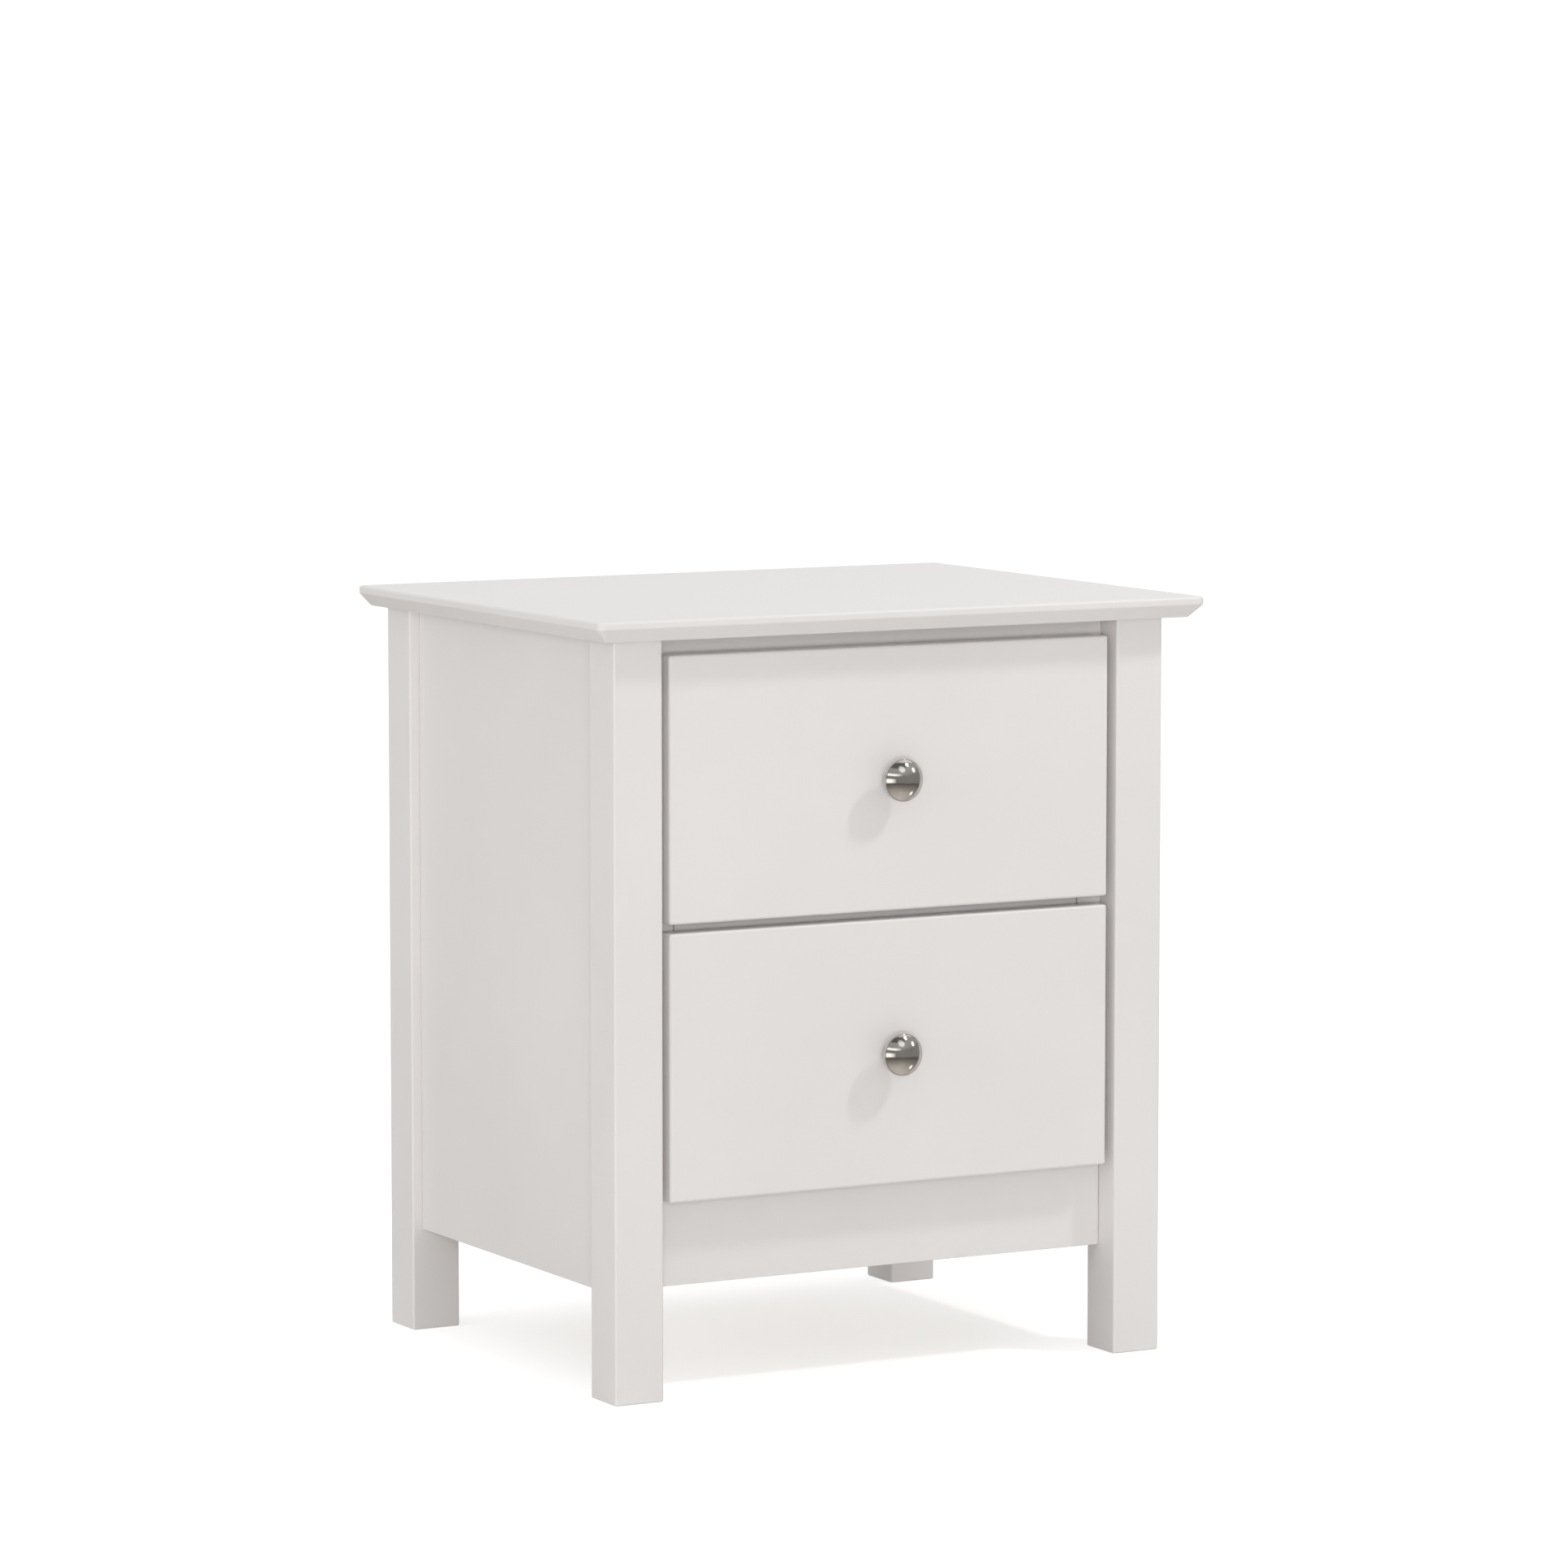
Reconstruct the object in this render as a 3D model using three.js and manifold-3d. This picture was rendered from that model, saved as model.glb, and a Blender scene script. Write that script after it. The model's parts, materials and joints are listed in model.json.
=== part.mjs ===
// Two-drawer nightstand: a post-and-panel case with an overhanging top, two
// slab drawer fronts with round knobs, and drawer boxes on three-member
// ball-bearing slides.  Millimetres, +Z up, front of the case towards -Y.
// Origin: centre of the overall box, on the floor.

import * as THREE from 'three';
import * as BufferGeometryUtils from 'three/addons/utils/BufferGeometryUtils.js';
import Module from 'manifold-3d';

const wasm = await Module();
wasm.setup();

// ---------------------------------------------------------------- dimensions
// overall
const WIDTH = 542;            // tabletop, left to right
const DEPTH = 430;            // tabletop, front to back
const HEIGHT = 610;           // floor to tabletop
const GAP = 0.2;              // hairline between glued or screwed pieces

// tabletop
const TOP_T = 16.8;           // thickness
const TOP_EDGE = 6.2;         // upright part of the edge, above the under-bevel
const TOP_BEVEL_IN = 10.2;    // how far the under-bevel runs in
const TOP_ROUND = 2.2;        // round-over of the upper edge
const TOP_CORNER_R = 6;       // plan radius of the front corners

// posts
const POST = 42;              // square section
const POST_X = 246;           // outer face, from the centre plane
const POST_FRONT_Y = -189.5;  // front face of the front posts
const POST_REAR_Y = 215;      // rear face of the rear posts, flush with the top
const POST_R = 2;             // eased arrises

// side panels
const SIDE_X = 237.5;           // outer face, recessed from the posts
const SIDE_T = 16;
const SIDE_Z0 = 83;

// front frame of rails and stiles, recessed behind the posts
const FRAME_RECESS = 24;
const FRAME_T = 18;
const OPENING_X = 182.5;      // half width of the drawer openings
const MID_GAP = 0.8;          // open joint at each end of the middle rail
const RAIL_BOTTOM_Z0 = 85.5;
const RAIL_BOTTOM_Z1 = 164.5;
const RAIL_MID_Z0 = 356.7;
const RAIL_MID_Z1 = 378.7;
const RAIL_TOP_Z0 = 569.6;

// drawer fronts
const FRONT_X = 197;        // half width
const FRONT_T = 18;
const FRONT_RECESS = 2.1;     // behind the posts' front faces
const FRONT_R = 3;            // rounded corners
const FRONT_E = 2;            // eased arrises
const FRONT_Z = [[371.3, 579.6], [154.3, 364.2]];   // upper, lower

// knobs
const KNOB_R = 16.8;          // radius of the flange round the dome
const KNOB_H = 25.2;          // stand-off of the dome's apex
const KNOB_BORE_R = 2.4;
const KNOB_BORE_L = 11;

// drawer boxes
const BOX_X = 169.8;          // outer half width
const BOX_T = 12;
const BOX_H = 150;
const BOX_L = 350;
const BOX_Z = [387, 173];     // underside, upper and lower
const BOTTOM_T = 5;
const BOTTOM_UP = 10;         // groove above the lower edge
const GROOVE_D = 5;

// slides, measured inwards from the opening's side and up from the centre line
const SLIDE_L = 348;
const SLIDE_FRONT_Y = -166;
const SLIDE_ABOVE = 62;       // centre line above the drawer box's underside
const SHEET = 1.2;
const OUTER = { web: 0.3, reach: 9.7, half: 22.5 };
const MID = { web: 2.6, reach: 11.4, half: 17.6 };
const INNER = { web: 12.4, reach: 5.0, half: 12.4 };
const CLEAT_H = 52;

// back and top fixings
const BACK_T = 5;
const BACK_RECESS = 6;
const REAR_RAIL_T = 18;
const BATTEN = 18;

// ------------------------------------------------------------------- helpers
const material = (color, roughness, metalness = 0) =>
  new THREE.MeshStandardMaterial({ color, roughness, metalness });
const PAINT = material(0xe9e7e4, 0.42);
const RAW = material(0xd9bf95, 0.62);
const PLY = material(0xdcc7a2, 0.6);
const BACK = material(0xe4e1dc, 0.55);
const NICKEL = material(0xb4b0a9, 0.2, 1);
const ZINC = material(0xaeb2b5, 0.34, 1);
const SCREW = material(0xa9a593, 0.38, 1);
const RUBBER = material(0xd8d8d4, 0.7);

function solid(geometry) {
  const g = geometry.clone();
  for (const name of Object.keys(g.attributes)) {
    if (name !== 'position') g.deleteAttribute(name);
  }
  return BufferGeometryUtils.mergeVertices(g, 1e-4);
}

function toManifold(geometry) {
  const g = solid(geometry);
  const mesh = new wasm.Mesh({
    numProp: 3,
    vertProperties: new Float32Array(g.attributes.position.array),
    triVerts: new Uint32Array(g.index.array),
  });
  return new wasm.Manifold(mesh);
}

function fromManifold(body) {
  const mesh = body.getMesh();
  const g = new THREE.BufferGeometry();
  g.setAttribute('position', new THREE.BufferAttribute(new Float32Array(mesh.vertProperties), 3));
  g.setIndex(new THREE.BufferAttribute(new Uint32Array(mesh.triVerts), 1));
  return g;
}

const cut = (geometry, ...tools) =>
  fromManifold(tools.reduce((body, t) => body.subtract(toManifold(t)), toManifold(geometry)));
const common = (geometry, ...others) =>
  fromManifold(others.reduce((body, t) => body.intersect(toManifold(t)), toManifold(geometry)));

function box(x0, x1, y0, y1, z0, z1) {
  const g = new THREE.BoxGeometry(x1 - x0, y1 - y0, z1 - z0);
  g.translate((x0 + x1) / 2, (y0 + y1) / 2, (z0 + z1) / 2);
  return g;
}

// a cylinder along Y from y0 to y1
function rodY(x, z, r, y0, y1, sides = 16) {
  const g = new THREE.CylinderGeometry(r, r, y1 - y0, sides);
  g.translate(x, (y0 + y1) / 2, z);
  return g;
}

// a cylinder along Z from z0 to z1
function rodZ(x, y, r, z0, z1, sides = 16) {
  const g = new THREE.CylinderGeometry(r, r, z1 - z0, sides);
  g.rotateX(Math.PI / 2);
  g.translate(x, y, (z0 + z1) / 2);
  return g;
}

// a rectangle with rounded corners, in the plane of a shape
function roundedRect(x0, x1, y0, y1, r) {
  const s = new THREE.Shape();
  s.moveTo(x0 + r, y0);
  s.lineTo(x1 - r, y0);
  s.absarc(x1 - r, y0 + r, r, -Math.PI / 2, 0, false);
  s.lineTo(x1, y1 - r);
  s.absarc(x1 - r, y1 - r, r, 0, Math.PI / 2, false);
  s.lineTo(x0 + r, y1);
  s.absarc(x0 + r, y1 - r, r, Math.PI / 2, Math.PI, false);
  s.lineTo(x0, y0 + r);
  s.absarc(x0 + r, y0 + r, r, Math.PI, Math.PI * 1.5, false);
  return s;
}

// a shape from a list of corners
function polygon(points) {
  return new THREE.Shape(points.map(([a, b]) => new THREE.Vector2(a, b)));
}

// a shape drawn in (x, y), raised from z0 to z1, its end arrises eased by e
function raised(shape, z0, z1, e = 0, curveSegments = 3) {
  const g = new THREE.ExtrudeGeometry(shape, {
    depth: z1 - z0 - 2 * e, curveSegments, steps: 1,
    bevelEnabled: e > 0, bevelThickness: e, bevelSize: e, bevelOffset: -e, bevelSegments: 2,
  });
  g.translate(0, 0, z0 + e);
  return g;
}

// a shape drawn in (x, z), carried from y0 to y1
function carriedY(shape, y0, y1, e = 0, curveSegments = 3) {
  const g = raised(shape, 0, y1 - y0, e, curveSegments);
  g.rotateX(Math.PI / 2);           // (x, y, z) -> (x, -z, y)
  g.translate(0, y1, 0);
  return g;
}

// a shape drawn in (y, z), carried from x0 to x1
function carriedX(shape, x0, x1) {
  const g = raised(shape, x0, x1);
  g.applyMatrix4(new THREE.Matrix4().set(
    0, 0, 1, 0,
    1, 0, 0, 0,
    0, 1, 0, 0,
    0, 0, 0, 1));
  return g;
}

const group = new THREE.Group();
function add(name, geometry, mat) {
  const mesh = new THREE.Mesh(geometry, mat);
  mesh.name = name;
  group.add(mesh);
  return mesh;
}

// ------------------------------------------------------------------ tabletop
const X = WIDTH / 2;
const Y = DEPTH / 2;
const UNDER = HEIGHT - TOP_T;               // underside of the top
const EDGE_Z = HEIGHT - TOP_EDGE;           // where the under-bevel starts
const TOP_OF_CASE = UNDER - GAP;

{
  // cross-section along the width: both ends bevelled underneath
  const q = TOP_ROUND;
  const c = q * (1 - Math.SQRT1_2);
  const across = polygon([
    [-X + TOP_BEVEL_IN, UNDER], [X - TOP_BEVEL_IN, UNDER], [X, EDGE_Z], [X, HEIGHT - q],
    [X - c, HEIGHT - c], [X - q, HEIGHT], [-X + q, HEIGHT], [-X + c, HEIGHT - c],
    [-X, HEIGHT - q], [-X, EDGE_Z],
  ]);
  // cross-section along the depth: front bevelled underneath, rear cut square
  const along = polygon([
    [-Y + TOP_BEVEL_IN, UNDER], [Y, UNDER], [Y, HEIGHT - 0.6], [Y - 0.6, HEIGHT],
    [-Y + q, HEIGHT], [-Y + c, HEIGHT - c], [-Y, HEIGHT - q], [-Y, EDGE_Z],
  ]);
  const plan = new THREE.Shape();
  const r = TOP_CORNER_R;
  plan.moveTo(-X + r, -Y);
  plan.lineTo(X - r, -Y);
  plan.absarc(X - r, -Y + r, r, -Math.PI / 2, 0, false);
  plan.lineTo(X, Y);
  plan.lineTo(-X, Y);
  plan.lineTo(-X, -Y + r);
  plan.absarc(-X + r, -Y + r, r, Math.PI, Math.PI * 1.5, false);
  const slab = common(
    carriedY(across, -Y - 1, Y + 1),
    carriedX(along, -X - 1, X + 1),
    raised(plan, UNDER - 1, HEIGHT + 1, 0, 4),
  );
  // blind pilot holes for the screws that come up through the battens
  const holes = [];
  for (const sx of [-1, 1]) for (const y of [-95, 120]) {
    holes.push(rodZ(sx * (SIDE_X - SIDE_T - GAP - BATTEN / 2), y, 2.1, UNDER - 1, UNDER + 11.5, 12));
  }
  add('tabletop', cut(slab, ...holes), PAINT);
}

// --------------------------------------------------------------------- posts
function post(name, sx, y0) {
  const x0 = sx > 0 ? POST_X - POST : -POST_X;
  const shape = roundedRect(x0, x0 + POST, y0, y0 + POST, POST_R);
  add(name, raised(shape, 0, TOP_OF_CASE, 0.8), PAINT);
}
post('post_front_left', -1, POST_FRONT_Y);
post('post_front_right', 1, POST_FRONT_Y);
post('post_rear_left', -1, POST_REAR_Y - POST);
post('post_rear_right', 1, POST_REAR_Y - POST);

// --------------------------------------------------------------- side panels
const SIDE_Y0 = POST_FRONT_Y + POST + GAP;
const SIDE_Y1 = POST_REAR_Y - POST - GAP;
for (const [name, sx] of [['side_panel_left', -1], ['side_panel_right', 1]]) {
  const a = sx * SIDE_X;
  const b = sx * (SIDE_X - SIDE_T);
  add(name, box(Math.min(a, b), Math.max(a, b), SIDE_Y0, SIDE_Y1, SIDE_Z0, TOP_OF_CASE), PAINT);
}

// --------------------------------------------------------------- front frame
const FRAME_Y0 = POST_FRONT_Y + FRAME_RECESS;
const FRAME_Y1 = FRAME_Y0 + FRAME_T;
const POST_IN = POST_X - POST;              // inner faces of the posts
const railBox = (x, z0, z1) => box(-x, x, FRAME_Y0, FRAME_Y1, z0, z1);
add('top_rail_front', railBox(POST_IN - GAP, RAIL_TOP_Z0, TOP_OF_CASE), PAINT);
add('middle_rail_front', railBox(OPENING_X - MID_GAP, RAIL_MID_Z0, RAIL_MID_Z1), PAINT);
add('bottom_rail_front', railBox(POST_IN - GAP, RAIL_BOTTOM_Z0, RAIL_BOTTOM_Z1), PAINT);
// stiles stand between the bottom and top rails, each side of the openings
add('stile_left', box(-POST_IN + GAP, -OPENING_X, FRAME_Y0, FRAME_Y1, RAIL_BOTTOM_Z1 + GAP, RAIL_TOP_Z0 - GAP), PAINT);
add('stile_right', box(OPENING_X, POST_IN - GAP, FRAME_Y0, FRAME_Y1, RAIL_BOTTOM_Z1 + GAP, RAIL_TOP_Z0 - GAP), PAINT);

// ---------------------------------------------------------------------- back
const BACK_Y1 = POST_REAR_Y - BACK_RECESS;
const BACK_Y0 = BACK_Y1 - BACK_T;
const REAR_Y1 = BACK_Y0 - GAP;
const REAR_Y0 = REAR_Y1 - REAR_RAIL_T;
add('back_panel', box(-POST_IN + GAP, POST_IN - GAP, BACK_Y0, BACK_Y1, SIDE_Z0, TOP_OF_CASE), BACK);
add('top_rail_rear', box(-POST_IN + GAP, POST_IN - GAP, REAR_Y0, REAR_Y1, TOP_OF_CASE - 40, TOP_OF_CASE), PAINT);
add('bottom_rail_rear', box(-POST_IN + GAP, POST_IN - GAP, REAR_Y0, REAR_Y1, RAIL_BOTTOM_Z0, RAIL_BOTTOM_Z0 + 40), PAINT);

// ------------------------------------------------- battens and their screws
// Lathe profiles run along local +Y, from the head to the tip.
function screwProfile(headR, headH, shankR, length) {
  return [
    [0, 0], [headR * 0.72, 0], [headR * 0.94, headH * 0.3], [headR, headH],
    [shankR, headH], [shankR, headH + length - 2.5], [0, headH + length],
  ].map(([r, h]) => new THREE.Vector2(r, h));
}
const BATTEN_X = SIDE_X - SIDE_T - GAP - BATTEN / 2;
const BATTEN_Z0 = TOP_OF_CASE - BATTEN;
for (const [side, sx] of [['left', -1], ['right', 1]]) {
  const x = sx * BATTEN_X;
  const body = box(x - BATTEN / 2, x + BATTEN / 2, SIDE_Y0 + 12, SIDE_Y1 - 12, BATTEN_Z0, TOP_OF_CASE);
  const holes = [-95, 120].map((y) => rodZ(x, y, 2.6, BATTEN_Z0 - 1, TOP_OF_CASE + 1, 12));
  add(`top_batten_${side}`, cut(body, ...holes), RAW);
  for (const [place, y] of [['front', -95], ['rear', 120]]) {
    const g = new THREE.LatheGeometry(screwProfile(4.2, 2.2, 1.8, BATTEN + GAP + 10.6), 12);
    g.rotateX(Math.PI / 2);                 // local +Y becomes +Z
    const mesh = add(`top_screw_${place}_${side}`, g, SCREW);
    mesh.position.set(x, y, BATTEN_Z0 - 2.2 - GAP);
  }
}

// -------------------------------------------------------------- drawer parts
// C-section of a slide member: web at depth `web`, flanges reaching to `reach`
function channel({ web, reach, half }, sx, z, y0, y1) {
  const s = Math.sign(reach - web);
  const w = web + s * SHEET;
  const pts = [
    [web, -half], [web, half], [reach, half], [reach, half - SHEET],
    [w, half - SHEET], [w, -half + SHEET], [reach, -half + SHEET], [reach, -half],
  ].map(([a, b]) => [sx * (OPENING_X - a), z + b]);
  return carriedY(polygon(pts), y0, y1);
}

// round knob: foot, waist, rounded flange and low dome, turned about local +Y
function knobProfile() {
  const pts = [
    [0, KNOB_BORE_L], [KNOB_BORE_R, KNOB_BORE_L], [KNOB_BORE_R, 0], [8.2, 0], [8.6, 0.4], [8.6, 1.4],
    [8.0, 2.1], [6.9, 3.4], [6.3, 5.4], [6.4, 7.6], [7.4, 9.3], [9.8, 10.6], [13.0, 11.6],
    [KNOB_R - 1.2, 12.6], [KNOB_R - 0.3, 13.9], [KNOB_R, 15.2], [KNOB_R - 0.1, 16.4], [KNOB_R - 0.5, 17.4], [KNOB_R - 1, 17.7],
  ];
  // dome: a cap rising from just inside the flange
  const r = KNOB_R - 1;
  const h = KNOB_H - 17.7;
  for (let i = 1; i <= 7; i += 1) {
    const u = 1 - i / 7;                    // radius from 1 at the flange to 0 at the apex
    pts.push([r * u, 17.7 + h * (1 - u ** 2.15)]);
  }
  return pts.map(([a, b]) => new THREE.Vector2(a, b));
}

const FRONT_Y0 = POST_FRONT_Y + FRONT_RECESS;
const FRONT_Y1 = FRONT_Y0 + FRONT_T;
const BOX_Y0 = FRONT_Y1 + GAP;
const BOX_Y1 = BOX_Y0 + BOX_L;

['upper', 'lower'].forEach((level, i) => {
  const [z0, z1] = FRONT_Z[i];
  const zk = (z0 + z1) / 2;
  const b0 = BOX_Z[i];
  const b1 = b0 + BOX_H;
  const g0 = b0 + BOTTOM_UP;                // groove for the bottom
  const g1 = g0 + BOTTOM_T + 2 * GAP;

  // slab front with its bore for the knob screw
  add(`drawer_front_${level}`, cut(
    carriedY(roundedRect(-FRONT_X, FRONT_X, z0, z1, FRONT_R), FRONT_Y0, FRONT_Y1, FRONT_E),
    rodY(0, zk, 2.6, FRONT_Y0 - 1, FRONT_Y1 + 1, 16),
  ), PAINT);

  // box: sides run through, front and back boards sit between them
  const inner = BOX_X - BOX_T;
  const groove = box(-inner - GROOVE_D, inner + GROOVE_D, BOX_Y0 + BOX_T - GROOVE_D, BOX_Y1 - BOX_T + GROOVE_D, g0, g1);
  add(`drawer_box_left_${level}`, cut(box(-BOX_X, -inner, BOX_Y0, BOX_Y1, b0, b1), groove), RAW);
  add(`drawer_box_right_${level}`, cut(box(inner, BOX_X, BOX_Y0, BOX_Y1, b0, b1), groove), RAW);
  add(`drawer_box_front_${level}`, cut(
    box(-inner + GAP, inner - GAP, BOX_Y0, BOX_Y0 + BOX_T, b0, b1),
    groove, rodY(0, zk, 2.6, BOX_Y0 - 1, BOX_Y0 + BOX_T + 1, 16),
  ), RAW);
  add(`drawer_box_back_${level}`, cut(box(-inner + GAP, inner - GAP, BOX_Y1 - BOX_T, BOX_Y1, b0, b1), groove), RAW);
  add(`drawer_bottom_${level}`, box(
    -inner - GROOVE_D + GAP * 2, inner + GROOVE_D - GAP * 2,
    BOX_Y0 + BOX_T - GROOVE_D + GAP * 2, BOX_Y1 - BOX_T + GROOVE_D - GAP * 2,
    g0 + GAP, g1 - GAP,
  ), PLY);

  // knob and the machine screw that holds it from inside the drawer
  const knob = new THREE.LatheGeometry(knobProfile(), 32);
  knob.rotateX(Math.PI);                    // local +Y becomes -Y
  add(`knob_${level}`, knob, NICKEL).position.set(0, FRONT_Y0 - GAP, zk);
  const screw = new THREE.LatheGeometry(screwProfile(4.6, 2.4, 2.0, FRONT_T + BOX_T + GAP * 3 + 9), 16);
  screw.rotateX(Math.PI);                   // local +Y becomes -Y, so the tip points forwards
  add(`knob_screw_${level}`, screw, SCREW).position.set(0, BOX_Y0 + BOX_T + GAP + 2.4, zk);

  // slides: outer members on the case, middle members between, inner on the box
  const zs = b0 + SLIDE_ABOVE;
  for (const [side, sx] of [['left', -1], ['right', 1]]) {
    const a = sx * OPENING_X;
    const b = sx * (POST_IN - GAP);
    add(`slide_cleat_${level}_${side}`, box(
      Math.min(a, b), Math.max(a, b), FRAME_Y1 + GAP, REAR_Y1, zs - CLEAT_H / 2, zs + CLEAT_H / 2,
    ), RAW);
    add(`slide_outer_${level}_${side}`, channel(OUTER, sx, zs, SLIDE_FRONT_Y, SLIDE_FRONT_Y + SLIDE_L + 2), ZINC);
    add(`slide_middle_${level}_${side}`, channel(MID, sx, zs, SLIDE_FRONT_Y + 1, SLIDE_FRONT_Y + SLIDE_L), ZINC);
    add(`slide_inner_${level}_${side}`, channel(INNER, sx, zs, SLIDE_FRONT_Y, SLIDE_FRONT_Y + SLIDE_L - 2), ZINC);
    // soft bumper on the back of the front, where it meets the stile
    const bump = rodY(sx * (OPENING_X + 7), z1 - 24, 4.2, FRONT_Y1 + GAP, FRAME_Y0 - GAP, 16);
    add(`bumper_${level}_${side}`, bump, RUBBER);
  }
});

export default group;
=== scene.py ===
import json
import math

import bmesh
import bpy
from mathutils import Matrix, Vector

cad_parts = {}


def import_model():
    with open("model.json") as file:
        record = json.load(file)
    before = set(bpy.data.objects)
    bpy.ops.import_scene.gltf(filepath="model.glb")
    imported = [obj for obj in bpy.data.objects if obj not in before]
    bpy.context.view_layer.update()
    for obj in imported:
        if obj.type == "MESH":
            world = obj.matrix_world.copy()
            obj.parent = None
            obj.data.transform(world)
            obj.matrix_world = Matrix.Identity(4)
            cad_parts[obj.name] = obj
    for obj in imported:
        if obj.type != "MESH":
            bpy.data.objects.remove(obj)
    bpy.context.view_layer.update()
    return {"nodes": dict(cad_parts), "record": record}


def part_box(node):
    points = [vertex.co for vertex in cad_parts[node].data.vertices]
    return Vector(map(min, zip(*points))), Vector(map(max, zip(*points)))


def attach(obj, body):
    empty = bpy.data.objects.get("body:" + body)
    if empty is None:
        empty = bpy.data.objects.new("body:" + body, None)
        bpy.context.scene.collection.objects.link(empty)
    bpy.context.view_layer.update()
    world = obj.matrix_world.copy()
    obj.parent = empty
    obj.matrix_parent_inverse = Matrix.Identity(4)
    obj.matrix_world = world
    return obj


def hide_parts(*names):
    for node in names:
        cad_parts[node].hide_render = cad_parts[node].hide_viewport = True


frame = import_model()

MM = 0.001
NODES = frame["nodes"]
BODY_OF = {n: b for b, ns in frame["record"]["behaviour"]["bodies"].items() for n in ns}


# --------------------------------------------------------------- node helpers
class Tree:
    """A material's node tree with short ways to add and join nodes."""

    def __init__(self, name):
        self.mat = bpy.data.materials.new(name)
        self.mat.use_nodes = True
        self.nt = self.mat.node_tree
        self.nt.nodes.clear()
        self.out = self.nt.nodes.new("ShaderNodeOutputMaterial")
        self.p = self.nt.nodes.new("ShaderNodeBsdfPrincipled")
        self.link(self.p.outputs["BSDF"], self.out.inputs["Surface"])
        self.coords = self.nt.nodes.new("ShaderNodeTexCoord")

    def link(self, a, b):
        self.nt.links.new(a, b)

    def set(self, node, **values):
        for key, value in values.items():
            sock = node.inputs[key.replace("_", " ")] if not isinstance(key, int) else node.inputs[key]
            if hasattr(value, "is_output"):
                self.link(value, sock)
            else:
                sock.default_value = value
        return node

    def mapping(self, scale=(1, 1, 1), rotation=(0, 0, 0), location=(0, 0, 0), vector=None):
        m = self.nt.nodes.new("ShaderNodeMapping")
        self.link(vector or self.coords.outputs["Object"], m.inputs["Vector"])
        m.inputs["Scale"].default_value = scale
        m.inputs["Rotation"].default_value = rotation
        m.inputs["Location"].default_value = location
        return m.outputs["Vector"]

    def noise(self, vector, scale, detail=3.0, roughness=0.5, distortion=0.0):
        n = self.nt.nodes.new("ShaderNodeTexNoise")
        self.link(vector, n.inputs["Vector"])
        n.inputs["Scale"].default_value = scale
        n.inputs["Detail"].default_value = detail
        n.inputs["Roughness"].default_value = roughness
        n.inputs["Distortion"].default_value = distortion
        return n.outputs["Fac"]

    def wave(self, vector, scale, distortion=0.0, detail=2.0, detail_scale=1.0, kind="BANDS", direction="X", profile="SIN"):
        n = self.nt.nodes.new("ShaderNodeTexWave")
        n.wave_type = kind
        if kind == "BANDS":
            n.bands_direction = direction
        else:
            n.rings_direction = direction
        n.wave_profile = profile
        self.link(vector, n.inputs["Vector"])
        n.inputs["Scale"].default_value = scale
        n.inputs["Distortion"].default_value = distortion
        n.inputs["Detail"].default_value = detail
        n.inputs["Detail Scale"].default_value = detail_scale
        return n.outputs["Fac"]

    def ramp(self, fac, stops, interpolation="LINEAR"):
        r = self.nt.nodes.new("ShaderNodeValToRGB")
        r.color_ramp.interpolation = interpolation
        self.link(fac, r.inputs["Fac"])
        els = r.color_ramp.elements
        while len(els) > 1:
            els.remove(els[-1])
        for i, (pos, col) in enumerate(stops):
            e = els[0] if i == 0 else els.new(pos)
            e.position = pos
            e.color = (*col, 1) if len(col) == 3 else col
        return r.outputs["Color"]

    def span(self, value, lo, hi, from_lo=0.0, from_hi=1.0):
        m = self.nt.nodes.new("ShaderNodeMapRange")
        m.clamp = True
        self.link(value, m.inputs["Value"])
        m.inputs["From Min"].default_value = from_lo
        m.inputs["From Max"].default_value = from_hi
        m.inputs["To Min"].default_value = lo
        m.inputs["To Max"].default_value = hi
        return m.outputs["Result"]

    def math(self, op, a, b=None):
        m = self.nt.nodes.new("ShaderNodeMath")
        m.operation = op
        for sock, v in zip(m.inputs, (a, b)):
            if v is None:
                continue
            if hasattr(v, "is_output"):
                self.link(v, sock)
            else:
                sock.default_value = v
        return m.outputs[0]

    def mix(self, fac, a, b, blend="MIX"):
        m = self.nt.nodes.new("ShaderNodeMix")
        m.data_type = "RGBA"
        m.blend_type = blend
        for sock, v in ((m.inputs[0], fac), (m.inputs[6], a), (m.inputs[7], b)):
            if hasattr(v, "is_output"):
                self.link(v, sock)
            else:
                sock.default_value = (*v, 1) if isinstance(v, tuple) and len(v) == 3 else v
        return m.outputs[2]

    def bump(self, height, strength, distance, normal=None):
        b = self.nt.nodes.new("ShaderNodeBump")
        b.inputs["Strength"].default_value = strength
        b.inputs["Distance"].default_value = distance
        self.link(height, b.inputs["Height"])
        if normal is not None:
            self.link(normal, b.inputs["Normal"])
        return b.outputs["Normal"]


# Along which axis the grain of a board runs: stretch the texture there.
GRAIN = {
    "x": (1.0, 14.0, 14.0),
    "y": (14.0, 1.0, 14.0),
    "z": (14.0, 14.0, 1.0),
}
_made = {}


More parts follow.
